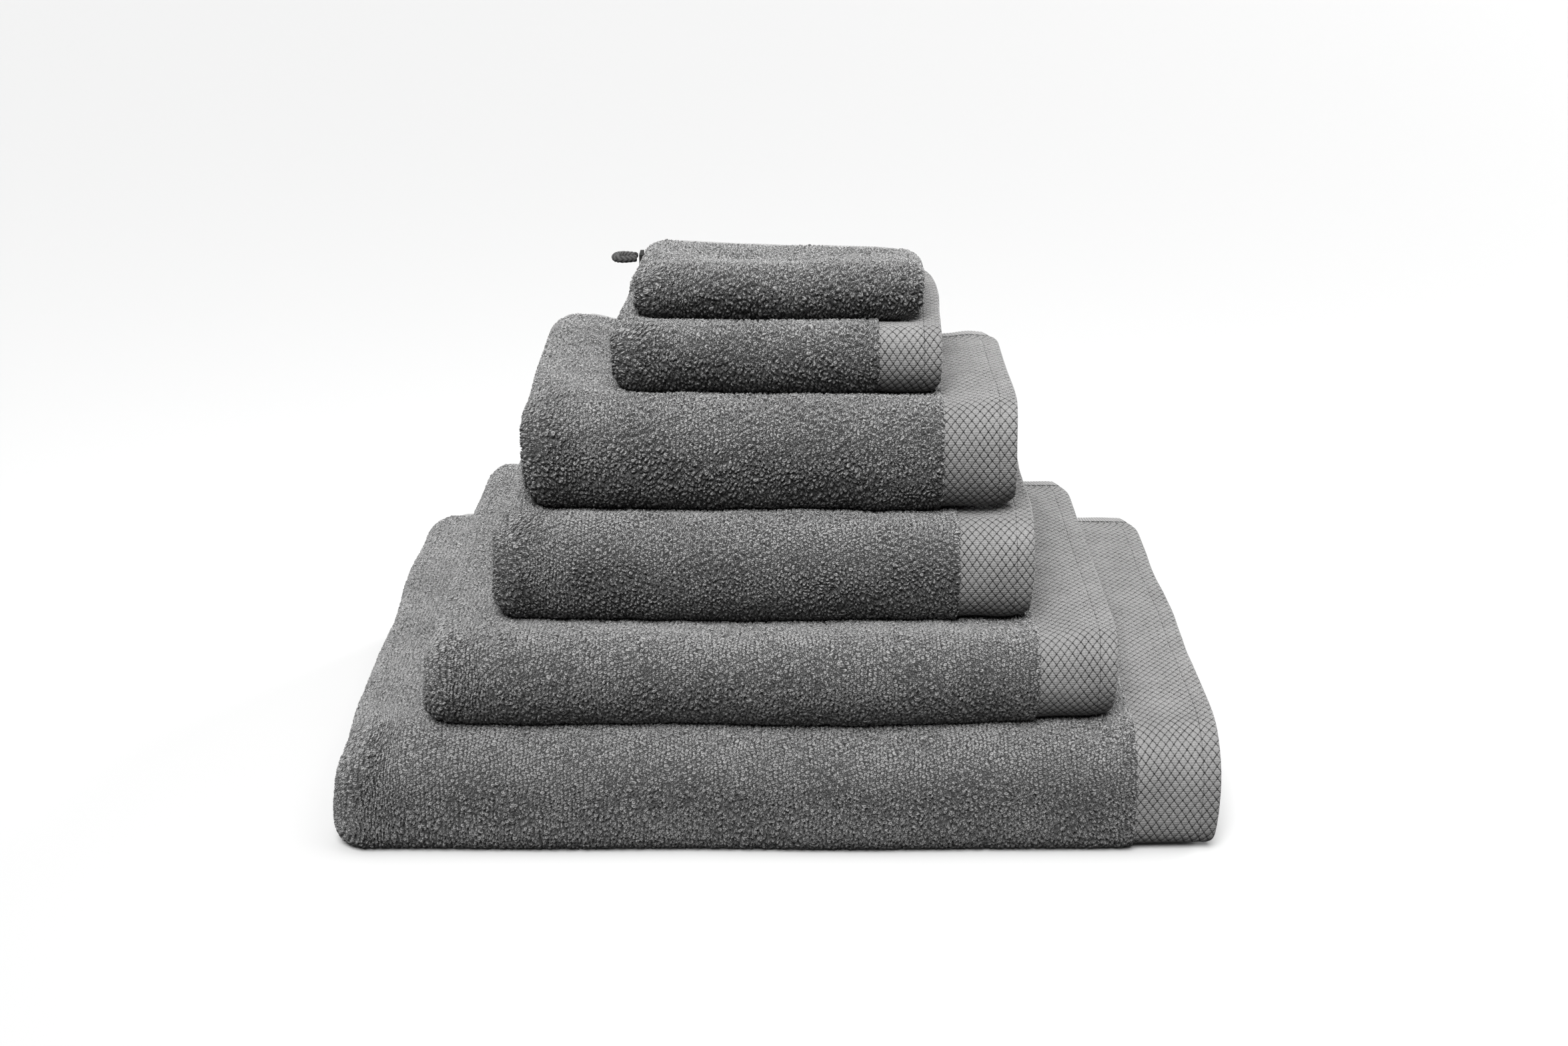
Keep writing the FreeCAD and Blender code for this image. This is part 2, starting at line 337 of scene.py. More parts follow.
def top_shift(stack, k, x, y):
    """How far the top of piece k stands above its plain height: pressed under the next, full beside it."""
    if k < 0:
        return np.zeros(np.broadcast(x, y).shape)
    towel = stack[k]
    across = (x - towel["left"]) / towel["width"]
    deep = np.clip((y - towel["front"]) / towel["depth"], 0, 1)
    shift = (towel["rise"][0] * (1 - across) + towel["rise"][1] * across) * smooth(0, 1, deep)
    shift = ripple(towel["seed"], TOP_WAVES, x, y, shift)
    off_x, off_y = (across - DENT_AT[0]) / DENT_REACH[0], (deep - DENT_AT[1]) / DENT_REACH[1]
    shift = shift - towel.get("dent", 0.0) * np.exp(-(off_x ** 2) - off_y ** 2)
    if k + 1 < len(stack):
        away = outside(stack[k + 1], x, y)
        shift = shift + PUFF * smooth(0, PUFF_REACH, away) - SINK * (1 - smooth(-SINK_REACH, 0, away))
    return shift


def settle(stack, k, x, y, z):
    """Moves points of piece k from the plain fold to where the soft, loaded cloth lies."""
    towel = stack[k]
    seed, roof = towel["seed"], towel["base"] + towel["height"]
    across = np.clip((x - towel["left"]) / towel["width"], 0, 1)
    deep = np.clip((y - towel["front"]) / towel["depth"], 0, 1)
    up = np.clip((z - towel["base"]) / towel["height"], 0, 1)
    middle = 4 * up * (1 - up)
    at_front = 1 - smooth(0, FRONT_REACH * towel["height"], y - towel["front"])
    at_left = 1 - smooth(0, LEFT_REACH, x - towel["left"])
    at_right = smooth(-RIGHT_REACH, 0, x - towel["right"])

    # the fold that wraps the front is longer than the panels behind it, so its ends stand out
    x = x - FOLD_OUT * at_front * at_left * (0.35 + 0.65 * middle)
    x = x + waves(seed + 1, y, z * 2, 0.09) * (END_WAVES[0] * at_left + END_WAVES[1] * at_right)

    # the corners are rounded, the woven end slants, and the left end leans in towards its top
    to_front, to_back, to_base = y - towel["front"], towel["back"] - y, z - towel["base"]
    x = x + (corner(to_front, LEFT_FRONT_ROUND) + corner(to_back, LEFT_BACK_ROUND)) * at_left
    x = x - (0.5 * corner(to_back, RIGHT_BACK_ROUND) + corner(to_base, RIGHT_LOW_ROUND)) * at_right
    x = x + (END_SLANT[1] * deep - END_SLANT[0] * at_front) * at_right
    x = x + 0.9 * corner(roof - z, towel["round"]) * at_left * at_front
    x = x + towel["tuck"] * (1 - 0.6 * deep) * smooth(0.3, 1.0, up) * at_left

    # the pack lies a little skew, its woven end stands back, and its front and back are wavy
    y = y + towel["skew"] * (1 - 2 * across) * deep
    y = y + towel["set_back"] * smooth(0.72, 1.0, across) * (1 - deep)
    y = y - FRONT_BULGE * at_front * middle + FRONT_WAVES * waves(seed + 2, x, z, 0.16) * at_front
    y = y + BACK_WAVES * waves(seed + 3, x, z * 7, 0.12) * smooth(0.8, 1.0, deep)

    # the whole of it lies on the piece below and is pressed by the one above
    z = z - HEM_DROP * smooth(-6 * MM, 3 * MM, y - towel["back"]) * smooth(0.5, 1.0, up)
    low = top_shift(stack, k - 1, x, y)
    high = top_shift(stack, k, x, y)
    return x, y, z + low * (1 - up) + high * up


# ---- Relief of the cloth ----

# How the rows of loops wander from straight, along and across the cloth
ALONG_WAVES = ((5, 0.9 * MM, 0.016), (6, 0.35 * MM, 0.006))
ACROSS_WAVES = ((7, 0.9 * MM, 0.018), (8, 0.3 * MM, 0.006))


def terry_relief(seed, roughest):
    """Gives the function for the loops' height over the ground at places s and v, from 0 to PILE. The
    loops stand in columns, each half a loop off the next, and each leans its own way. In rough patches
    they are pushed apart along winding lines."""
    rng = np.random.default_rng(seed)
    table = rng.random((61, 67, 4))
    half_wide, half_long = LOOP_HALF

    def relief(s, v):
        patch = smooth(-0.7, 0.7, waves(seed + 9, s, v, ROUGH_PATCH))
        rough = roughest * (0.45 + 0.55 * patch)
        loose = 0.1 + 0.5 * rough
        parting = np.exp(-((waves(seed + 10, s, v, PARTING) / 0.33) ** 2)) * rough
        p, q = s / LOOP_PITCH[0], v / LOOP_PITCH[1]
        column = np.floor(p).astype(int)
        best = np.zeros(p.shape)
        for i in (column - 1, column, column + 1):
            offset = 0.5 * (i % 2)
            row = np.floor(q - offset).astype(int)
            for j in (row - 1, row, row + 1):
                pick = table[i % len(table), j % len(table[0])]
                a = p - i - 0.5 - loose * (pick[..., 0] - 0.5)
                b = q - offset - j - 0.5 - loose * (pick[..., 1] - 0.5)
                lean = (0.6 + 1.8 * rough) * (pick[..., 2] - 0.5)
                a, b = a * np.cos(lean) + b * np.sin(lean), b * np.cos(lean) - a * np.sin(lean)
                out = ((a / half_wide) ** 2 + (b / half_long) ** 2) ** 3
                round_top = np.sqrt(np.clip(1 - out, 0, 1))
                best = np.maximum(best, round_top * (LOW_LOOP + (1 - LOW_LOOP) * pick[..., 3]))
        return PILE * best * (1 - 0.95 * parting)

    return relief


def weave_relief(s, v):
    """The flat weave's diamonds, with a groove round each."""
    a, b = s / DIAMOND[0] + v / DIAMOND[1], s / DIAMOND[0] - v / DIAMOND[1]
    edge = np.maximum(np.abs(a % 1 - 0.5), np.abs(b % 1 - 0.5)) * 2
    return DIAMOND_GROOVE * (1 - smooth(0.62, 1.0, edge))


def hem_ribs(s, v):
    """The ribs of thread across a turned side hem, and the furrow that its stitches pull in."""
    ribs = RIB_HEIGHT * np.abs(np.sin(s * math.pi / HEM_RIB))
    return ribs * (1 - np.exp(-(((v - STITCH_ROW) / FURROW) ** 2)))


def no_relief(s, v):
    return np.zeros(np.broadcast(s, v).shape)


# ---- Cloth meshes ----

def in_scene(name, data):
    """An object with this data, in the scene."""
    thing = bpy.data.objects.new(name, data)
    bpy.context.collection.objects.link(thing)
    return thing


def every(count, k):
    """Every k-th of count places, with the first and last."""
    picked = list(range(0, count - 1, k))
    return np.array(picked + [count - 1])


class Cloth:
    """Points, faces and the two UV maps of one mesh, collected patch by patch."""

    def __init__(self, stack, k, s_path, v_path, wander=1.0):
        self.stack, self.k, self.seed = stack, k, stack[k]["seed"]
        self.wander = wander
        self.s_path, self.v_path = s_path, v_path
        self.points, self.cloth_uv, self.bake_uv, self.pile = [], [], [], []
        self.faces, self.smooth = [], []
        self.count = 0

    def surface(self, s, v, offset, pile, bake, shift=0.0):
        """A grid of points at a height over the middle of the ply, with its pile and bake map place.
        shift moves them in X."""
        x, n, nx, nn = self.s_path.read(s)
        y, z, ny, nz = self.v_path.read(v)
        across = x[:, None] + nx[:, None] * offset + shift
        above = n[:, None] + nn[:, None] * offset
        wide_y = y[None, :] + above * ny[None, :]
        wide_z = z[None, :] + above * nz[None, :]
        px, py, pz = settle(self.stack, self.k, across, wide_y, wide_z)
        first = self.count
        self.count += len(s) * len(v)
        self.points.append(np.stack([px, py, pz], axis=-1).reshape(-1, 3))
        self.pile.append(pile.ravel())
        self.cloth_uv.append(np.stack(self.wandering(s, v), axis=-1).reshape(-1, 2))
        left, low, wide, tall = bake
        iu, iv = np.meshgrid(np.linspace(0, 1, len(s)), np.linspace(0, 1, len(v)), indexing="ij")
        self.bake_uv.append(np.stack([left + wide * iu, low + tall * iv], axis=-1).reshape(-1, 2))
        return first + np.arange(len(s) * len(v)).reshape(len(s), len(v))

    def wandering(self, s, v):
        """The places of a grid in the woven cloth, whose rows aren't quite straight."""
        su, vu = np.meshgrid(s, v, indexing="ij")
        along, across = [ripple(self.seed, kinds, su, vu) for kinds in (ALONG_WAVES, ACROSS_WAVES)]
        return su + self.wander * along, vu + self.wander * across

    def quads(self, grid, turned):
        """The faces of a grid of points."""
        a, b, c, d = grid[:-1, :-1], grid[1:, :-1], grid[1:, 1:], grid[:-1, 1:]
        corners = (a, d, c, b) if turned else (a, b, c, d)
        self.faces.append(np.stack(corners, axis=-1).reshape(-1, 4))
        self.smooth.append(True)

    def rim(self, fine, coarse, picked, turned):
        """Faces between a fine edge and a coarse one that has the picked points of it."""
        for i, (a, b) in enumerate(zip(picked, picked[1:])):
            ring = list(fine[a:b + 1]) + [coarse[i + 1], coarse[i]]
            self.faces.append(np.array([ring[::-1] if turned else ring]))
            self.smooth.append(False)

    def slab(
        self, s, v, half, relief, bake, edge_round=(0, 0, 0, 0), every_s=8, every_v=8, lift=0.0, ragged=0.0
    ):
        """A ply of cloth with a face, a plain underside and its four rims. half is half its thickness,
        lift is how far out its middle lies, and bake is its place in the bake map. edge_round is how far
        in from the low s, high s, low v and high v edges it rounds off. The underside has every
        every_s-th and every_v-th place of the face. Loops straggle out over the low s edge by ragged."""
        swell = np.ones((len(s), len(v)))
        for i, (along, reach) in enumerate(zip((s - s[0], s[-1] - s, v - v[0], v[-1] - v), edge_round)):
            if reach:
                q = 1 - np.clip(along / reach, 0, 1)
                part = np.sqrt(np.clip(1 - q * q, 0.04, 1))
                swell = np.minimum(swell, part[:, None] if i < 2 else part[None, :])
        left, low, wide, tall = bake
        face_box = (left, low, wide * FACE_SHARE, tall)
        under_box = (left + wide * UNDER_FROM, low, wide * (1 - UNDER_FROM), tall)
        raised = relief(*self.wandering(s, v))
        straggle = 0.5 + 0.5 * waves(self.seed + 11, 0 * v, v, TUFT)[None, :]
        shift = ragged * straggle * (1 - smooth(0, 2.5 * ragged + 1e-9, s - s[0]))[:, None]
        face = self.surface(s, v, (half + raised) * swell + lift, raised / PILE, face_box, shift)
        ps, pv = every(len(s), every_s), every(len(v), every_v)
        under_half = -half * swell[np.ix_(ps, pv)] + lift
        # On terry this pile of 0.5 paints the underside near black: painted shade on faces that lie inside
        # the pack.
        under = self.surface(s[ps], v[pv], under_half, np.full(under_half.shape, 0.5), under_box)
        self.quads(face, False)
        self.quads(under, True)
        self.rim(face[0, :], under[0, :], pv, False)
        self.rim(face[-1, :], under[-1, :], pv, True)
        self.rim(face[:, 0], under[:, 0], ps, True)
        self.rim(face[:, -1], under[:, -1], ps, False)

    def build(self, name):
        """The mesh of all that was collected, as an object in the scene."""
        points = np.concatenate(self.points)
        corners = np.concatenate([f.reshape(-1) for f in self.faces])
        sizes = np.concatenate([np.full(len(f), f.shape[1]) for f in self.faces])
        mesh = bpy.data.meshes.new(name)
        mesh.vertices.add(len(points))
        mesh.vertices.foreach_set("co", points.astype(np.float32).ravel())
        mesh.loops.add(len(corners))
        mesh.loops.foreach_set("vertex_index", corners.astype(np.int32))
        mesh.polygons.add(len(sizes))
        starts = np.concatenate([[0], np.cumsum(sizes)[:-1]]).astype(np.int32)
        mesh.polygons.foreach_set("loop_start", starts)
        mesh.update(calc_edges=True)
        pile = mesh.attributes.new("pile", "FLOAT", "POINT")
        pile.data.foreach_set("value", np.concatenate(self.pile).astype(np.float32))
        for layer, places in (("cloth", self.cloth_uv), ("OFBake", self.bake_uv)):
            uv = mesh.uv_layers.new(name=layer)
            uv.data.foreach_set("uv", np.concatenate(places)[corners].astype(np.float32).ravel())
        mesh.uv_layers.active = mesh.uv_layers["cloth"]
        mesh.uv_layers["cloth"].active_render = True
        round_faces = [np.full(len(f), is_smooth) for f, is_smooth in zip(self.faces, self.smooth)]
        mesh.polygons.foreach_set("use_smooth", np.concatenate(round_faces))
        mesh.validate()
        return in_scene(name, mesh)


# ---- Materials ----

def grey(level):
    """A neutral grey with the slightest warmth."""
    return (level, level * 0.992, level * 0.985)


class Nodes:
    """Adds shader nodes by type name and joins them up."""

    def __init__(self, name):
        self.material = bpy.data.materials.new(name)
        self.material.use_nodes = True
        self.tree = self.material.node_tree
        self.shader = self.tree.nodes["Principled BSDF"]

    def add(self, kind, inputs=None, **settings):
        node = self.tree.nodes.new("ShaderNode" + kind)
        for key, value in settings.items():
            setattr(node, key, value)
        for key, value in (inputs or {}).items():
            self.put(value, node.inputs[key])
        return node

    def put(self, value, socket):
        if isinstance(value, bpy.types.NodeSocket):
            self.tree.links.new(value, socket)
        else:
            socket.default_value = value

    def math(self, operation, a, b=0.0, clamp=False):
        return self.add("Math", {0: a, 1: b}, operation=operation, use_clamp=clamp).outputs[0]

    def cloth_place(self, scale):
        """The place in the cloth in metres, scaled along and across it."""
        uv = self.add("UVMap", uv_map="cloth").outputs[0]
        return self.add("Mapping", {"Vector": uv, "Scale": (scale[0], scale[1], 1.0)}).outputs[0]

    def pitches(self, along, across):
        """The place in the cloth as a count of pitches along it and one across it."""
        place = self.cloth_place((1 / along, 1 / across))
        return self.add("SeparateXYZ", {"Vector": place}).outputs[:2]

    def noise(self, scale, detail=3.0, roughness=0.7):
        """Noise that is fixed to the cloth, with so many waves in a metre along and across it."""
        place = self.cloth_place(scale)
        inputs = {"Vector": place, "Scale": 1.0, "Detail": detail, "Roughness": roughness}
        return self.add("TexNoise", inputs).outputs["Fac"]

    def weighted(self, *terms):
        """The sum of values times their weights. A third number is taken off the value first."""
        total = None
        for value, weight, *middle in terms:
            if middle:
                value = self.math("SUBTRACT", value, middle[0])
            part = self.math("MULTIPLY", value, weight)
            total = part if total is None else self.math("ADD", total, part)
        return total

    def ramp(self, value, stops):
        """A grey from a value, by stops of a value and a grey level each."""
        stops = [(place, grey(level)) for place, level in stops]
        node = self.add("ValToRGB", {"Fac": value})
        for element, (place, colour) in zip(node.color_ramp.elements, (stops[0], stops[-1])):
            element.position = place
            element.color = (*colour, 1.0)
        for place, colour in stops[1:-1]:
            node.color_ramp.elements.new(place).color = (*colour, 1.0)
        return node.outputs["Color"]

    def finish(self, colour, height, distance, roughness, sheen):
        """Joins a colour and a bump of some height to the shader, and gives the material."""
        bump = self.add("Bump", {"Height": height, "Distance": distance, "Strength": 1.0})
        settings = {
            "Base Color": colour, "Normal": bump.outputs[0], "Roughness": roughness,
            "Sheen Weight": sheen, "Sheen Roughness": 0.6, "Specular IOR Level": 0.15,
        }
        for key, value in settings.items():
            self.put(value, self.shader.inputs[key])
        return self.material


def terry_material():
    """Looped pile: each loop of the lattice is a light curl of twisted yarn. The colour is painted shade:
    it falls with the loops' height to near black in the gaps between them, and is darker off each curl's
    ring.
    """
    nodes = Nodes("terry_cloth")
    pile = nodes.add("Attribute", attribute_name="pile").outputs["Fac"]
    p, q = nodes.pitches(*LOOP_PITCH)
    column = nodes.math("FLOOR", p)
    offset = nodes.math("MULTIPLY", nodes.math("FLOORED_MODULO", column, 2.0), 0.5)
    shifted = nodes.math("SUBTRACT", q, offset)
    cell = nodes.add("CombineXYZ", {0: column, 1: nodes.math("FLOOR", shifted)}).outputs[0]
    chance = nodes.add("TexWhiteNoise", {"Vector": cell}, noise_dimensions="2D").outputs["Value"]
    lean = nodes.weighted((chance, 2.4, 0.5))

    # a curl is a ring round a point beside the loop's middle, turned as the loop leans
    across = nodes.math("SUBTRACT", nodes.math("FRACT", p), 0.5)
    along = nodes.math("SUBTRACT", nodes.math("FRACT", shifted), 0.5)
    spot = nodes.add("CombineXYZ", {0: across, 1: along}).outputs[0]
    turned = nodes.add("VectorRotate", {"Vector": spot, "Angle": lean}, rotation_type="Z_AXIS").outputs[0]
    centred = nodes.add("VectorMath", {0: turned, 1: (0.0, -0.16, 0.0)}, operation="SUBTRACT").outputs[0]
    away = nodes.add("VectorMath", {0: centred}, operation="LENGTH").outputs["Value"]
    ring = nodes.math("ABSOLUTE", nodes.math("SUBTRACT", away, 0.3))
    curl = nodes.math("SQRT", nodes.math("SUBTRACT", 1.0, nodes.math("DIVIDE", ring, 0.19), clamp=True))

    fibres = nodes.noise((2600, 1700))
    patches = nodes.noise((22, 22), detail=2.0, roughness=0.5)
    height = nodes.weighted((curl, 0.6), (fibres, 0.35))
    # painted shade: the colour follows the pile's height and the curl, near black in the gaps between
    # loops; the fibres, patches and lean give the yarn's own uneven tone
    level = nodes.weighted(
        (pile, 0.78), (curl, 0.2), (fibres, 0.25, 0.5), (patches, 0.16, 0.5), (lean, 0.03)
    )
    colour = nodes.ramp(level, [(0.4, 0.001), (0.66, 0.004), (0.8, 0.085), (0.98, 0.155)])
    return nodes.finish(colour, height, 1.2 * MM, 0.97, 0.27)


def yarn_height(nodes, along_pitch, across_pitch, scale):
    """Fine yarns both ways across the cloth, with loose fibres on them."""
    yarns = []
    for count in nodes.pitches(along_pitch, across_pitch):
        turn = nodes.math("MULTIPLY", count, math.pi)
        yarns.append(nodes.math("ABSOLUTE", nodes.math("SINE", turn)))
    return nodes.weighted((yarns[0], 0.35), (yarns[1], 0.2), (nodes.noise(scale), 0.45))


def weave_material(name):
    """Flat weave with a lattice of small diamonds and fine yarns inside each. Its colour darkens with
    depth, painted shade in the grooves and between the yarns.
    """
    nodes = Nodes(name)
    p, q = nodes.pitches(*DIAMOND)
    edges = []
    for sign in ("ADD", "SUBTRACT"):
        turn = nodes.math("FRACT", nodes.math(sign, p, q))
        off = nodes.math("ABSOLUTE", nodes.math("SUBTRACT", turn, 0.5))
        edges.append(nodes.math("MULTIPLY", off, 2.0))
    edge = nodes.math("MAXIMUM", edges[0], edges[1])

    # the grooves round the diamonds are shallower here and there, and deepest where they cross; their
    # depth also darkens the colour, painted shade
    crossing = nodes.math("SUBTRACT", nodes.math("ADD", *edges), 1.5)
    crossing = nodes.math("MULTIPLY", crossing, 1.2, clamp=True)
    groove = nodes.math("MULTIPLY", nodes.math("SUBTRACT", edge, 0.76), 4.5, clamp=True)
    uneven_depth = nodes.noise((260, 130), detail=2.0, roughness=0.5)
    groove = nodes.math("MULTIPLY", groove, nodes.math("ADD", uneven_depth, 0.25))
    groove = nodes.math("ADD", groove, crossing)

    patches = nodes.noise((40, 40), roughness=0.5)
    yarns = yarn_height(nodes, 0.7 * MM, 1.2 * MM, (1500, 700))
    height = nodes.math("ADD", yarns, nodes.weighted((patches, 0.35, 0.5)))
    height = nodes.math("SUBTRACT", height, nodes.math("MULTIPLY", groove, 0.6))
    # painted shade: the colour darkens with the height, near black in the grooves and in the hollows
    # between yarns
    colour = nodes.ramp(height, [(0.0, 0.004), (0.3, 0.07), (0.6, 0.125), (0.95, 0.18)])
    return nodes.finish(colour, height, 0.5 * MM, 0.95, 0.02)


def hem_material():
    """The turned side hem: thread ribs across it and a sunk row of stitches along its inner side, both
    darkened as painted shade.
    """
    nodes = Nodes("stitched_hem")
    yarns = yarn_height(nodes, HEM_RIB, 1.2 * MM, (1800, 1800))
    stitches, from_edge = nodes.pitches(STITCH, 1.0)
    off_row = nodes.math("ABSOLUTE", nodes.math("SUBTRACT", from_edge, STITCH_ROW))
    row = nodes.math("LESS_THAN", off_row, 0.8 * MM)
    dash = nodes.math("LESS_THAN", nodes.math("FRACT", stitches), 0.62)
    stitch = nodes.math("MULTIPLY", row, nodes.math("ADD", nodes.math("MULTIPLY", dash, 0.8), 0.3))
    height = nodes.math("SUBTRACT", yarns, stitch)
    # painted shade: the colour darkens with the height, in the hollows between ribs and along the sunk
    # stitch row
    colour = nodes.ramp(height, [(0.0, 0.008), (0.25, 0.045), (0.6, 0.13), (0.95, 0.19)])
    return nodes.finish(colour, height, 0.6 * MM, 0.92, 0.1)


def cord_material():
    """Charcoal knitted cord: fine yarns along each stitch, darkened as painted shade in the grooves
    between stitches.
    """
    nodes = Nodes("loop_cord")
    stitch = nodes.add("Attribute", attribute_name="pile").outputs["Fac"]
    height = nodes.weighted((stitch, 0.7), (nodes.noise((3500, 900)), 0.3))
    # painted shade: the colour darkens where the stitch profile is low, between the stitches
    colour = nodes.ramp(height, [(0.15, 0.002), (0.6, 0.013), (0.95, 0.04)])
    return nodes.finish(colour, height, 0.3 * MM, 0.85, 0.05)


MATERIALS = {
    "terry_loops": terry_material(),
    "flat_weave": weave_material("flat_weave"),
    "woven_hem": weave_material("woven_hem"),
    "stitched_hem": hem_material(),
    "loop_cord": cord_material(),
}


def placed(piece, body, node, slot, material=None):
    """Gives a piece the material for its slot, or the one named, joins it to its body and hides the CAD
    node that it stands for.
    """
    piece.data.materials.append(MATERIALS[material or slot])
    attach(piece, body)
    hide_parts(node)
    return piece


# ---- Towels ----

def folded(name, nodes, facts):
    """The sizes of a folded piece, from its CAD nodes."""
    boxes = [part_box(node) for node in nodes]
    left, front, base = [min(box[0][i] for box in boxes) for i in range(3)]
    right, back, roof = [max(box[1][i] for box in boxes) for i in range(3)]
    height = roof - base
    pack = height / facts["panels"]
    return {
        **facts, "name": name, "left": left, "right": right, "front": front, "back": back, "base": base,
        "width": right - left, "depth": back - front, "height": height,
        "pack": pack, "ply": pack / len(facts["plies"]),
    }


def spaced(ends, sizes, low, high, rounds=(0, 0)):
    """Distances from low to high with a step size for each stretch between ends, and extra places where
    the low or the high edge is rounded."""
    out = [low]
    for a, b, size in zip(ends, ends[1:], sizes):
        a, b = max(a, low), min(b, high)
        if b - a > 1e-6:
            count = max(1, round((b - a) / size))
            out += list(a + (b - a) * (np.arange(count) + 1) / count)
    if rounds[0]:
        out += [low + place for place in ROUND_PLACES]
    if rounds[1]:
        out += [high - place for place in ROUND_PLACES]
    return np.unique(np.round(out, 7))


def stretch_sizes(towel, kind):
    """Step sizes along v for each stretch of the width path."""
    fine = towel["step"]
    if towel["panels"] == 2:
        return fine, fine, SIDE_STEP if kind == "turn" else 3 * MM
    return {
        "face": (1.5 * fine, 0.8 * fine, 5 * MM, 1.3 * MM, HIDDEN_STEP),
        "turn": (1.4 * fine, fine, SIDE_STEP, SIDE_STEP, SIDE_STEP),
        "hidden": (HIDDEN_STEP, 4 * MM, HIDDEN_STEP, 4 * MM, HIDDEN_STEP),
    }[kind]


def terry_cloth(towel, cloth, band, terry_end):
    """The looped zone of a towel: its face, the folds at its ends that show at the side, and the plain
    stretches inside."""
    ends, across = cloth.s_path.ends, cloth.v_path.ends
    turn_low, turn_high, fold_low, fold_high = ends[1:5]
    half, wide = towel["ply"] / 2, cloth.v_path.length
    pile = terry_relief(towel["seed"], towel["rough"])
    for kind, row, low, high, rounds, every_s, ragged in (
        ("face", "face", band, turn_low, (BORDER_ROUND, 0), 8, RAGGED),
        ("turn", "turn", turn_low, turn_high, (0, 0), 3, 0.0),
        ("turn", "fold", fold_low, fold_high, (0, 0), 3, 0.0),
    ):
        s = spaced([0, ends[-1]], [towel["step"]], low, high, rounds)
        v = spaced(across, stretch_sizes(towel, kind), SIDE_HEM, wide, TERRY_ROUNDS)
        rounds = (*rounds, *TERRY_ROUNDS)
        cloth.slab(s, v, half - TERRY_IN, pile, TERRY_MAP[row], rounds, every_s, ragged=ragged)
    hidden = [HIDDEN_STEP if i % 2 == 0 else HIDDEN_TURN for i in range(len(ends))]
    v = spaced(across, stretch_sizes(towel, "hidden"), SIDE_HEM, wide)
    # These plain plies have no loops and so a pile of 0, which the terry's colour paints near black:
    # painted shade inside the pack.
    for row, low, high in (("inside", turn_high, fold_low), ("last", fold_high, terry_end)):
        s = spaced(ends, hidden, low, high)
        cloth.slab(s, v, half - HIDDEN_IN, no_relief, TERRY_MAP[row], every_s=1, every_v=1)


def end_zones(towel, long, band, hem, two_ends):
    """The flat zones at a towel's ends: from, to, half thickness, relief, lift, edge rounds and grid."""
    face, square, plain = towel["ply"] / 2, (0, 0), no_relief
    border_lift, hem_lift = face - BORDER_IN - BORDER_HALF, face - BORDER_IN - HEM_HALF
    inner_lift = face - HEM_HALF
    under = band + BORDER_UNDER
    zones = {
        "border": (hem, under, BORDER_HALF, weave_relief, border_lift, square, WEAVE_STEP),
        "end_hem": (0, hem, HEM_HALF, weave_relief, hem_lift, (END_ROUND, 0), WEAVE_STEP),
    }
    if two_ends:
        zones["inner_border"] = (long - under, long - hem, BORDER_HALF, plain, inner_lift, square, 4 * MM)
        zones["inner_end_hem"] = (long - hem, long, HEM_HALF, plain, inner_lift, (0, HEM_HALF), 1.5 * MM)
    return zones


def side_hem(towel, cloth):
    """The turned long edge, with ribs where it shows."""
    long, (turn_low, turn_high) = cloth.s_path.length, cloth.s_path.ends[1:3]
    lift = towel["ply"] / 2 - SIDE_HEM_IN - HEM_HALF
    v_rounds = (HEM_HALF, 1.2 * MM)
    v = spaced([0, SIDE_HEM], [1 * MM], 0, SIDE_HEM, v_rounds)
    for low, high, size, relief, row in (
        (0, turn_low, RIB_STEP, hem_ribs, 0.0),
        (turn_low, turn_high, RIB_STEP, hem_ribs, 0.25),
        (turn_high, long, 6 * MM, no_relief, 0.5),
    ):
        rounds = (HEM_ROUND * (low == 0), HEM_ROUND * (high == long))
        s = spaced([0, long], [size], low, high, rounds)
        cloth.slab(s, v, HEM_HALF, relief, (0.0, row, 0.98, 0.24), (*rounds, *v_rounds), lift=lift)


def towel_pieces(stack, k):
    """The terry, borders and hems of one towel."""
    towel = stack[k]
    name = towel["name"]
    s_path, v_path = length_path(towel), width_path(towel)
    long, wide = s_path.length, v_path.length
    two_ends = f"{name}_inner_border" in frame["nodes"]
    band = towel["right"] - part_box(f"{name}_border")[0].x
    hem = towel["right"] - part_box(f"{name}_end_hem")[0].x

    terry = Cloth(stack, k, s_path, v_path)
    terry_cloth(towel, terry, band, long - band if two_ends else long)
    pieces = {"terry": (terry, "terry_loops")}
    v_rounds = (0, 1 * MM)
    v = spaced(v_path.ends, stretch_sizes(towel, "face"), SIDE_HEM, wide, v_rounds)
    for part, zone in end_zones(towel, long, band, hem, two_ends).items():
        low, high, half, relief, lift, rounds, size = zone
        cloth = Cloth(stack, k, s_path, v_path, FLAT_WANDER)
        s = spaced([0, long], [size], low, high, rounds)
        cloth.slab(s, v, half, relief, WHOLE_MAP, (*rounds, *v_rounds), 4, lift=lift)
        pieces[part] = (cloth, "flat_weave" if part.endswith("border") else "stitched_hem")
    side = Cloth(stack, k, s_path, v_path, FLAT_WANDER)
    side_hem(towel, side)
    pieces["side_hem"] = (side, "stitched_hem")

    for part, (cloth, slot) in pieces.items():
        material = "woven_hem" if part.endswith("end_hem") else slot
        placed(cloth.build(f"{name}_{part}_cloth"), name, f"{name}_{part}", slot, material)


# ---- Wash mitt ----

def mitt_path(mitt):
    """The path round the mitt's two panels and its seams."""
    t = mitt["ply"]
    left, right = mitt["left"] + t, mitt["right"] - t
    path = Path((right, 1.5 * t))
    path.run((left, 1.5 * t))
    path.turn((left, t), t / 2, UP, HALF_TURN, t)
    path.run((right, 0.5 * t))
    path.turn((right, t), t / 2, DOWN, HALF_TURN, t)
    return path


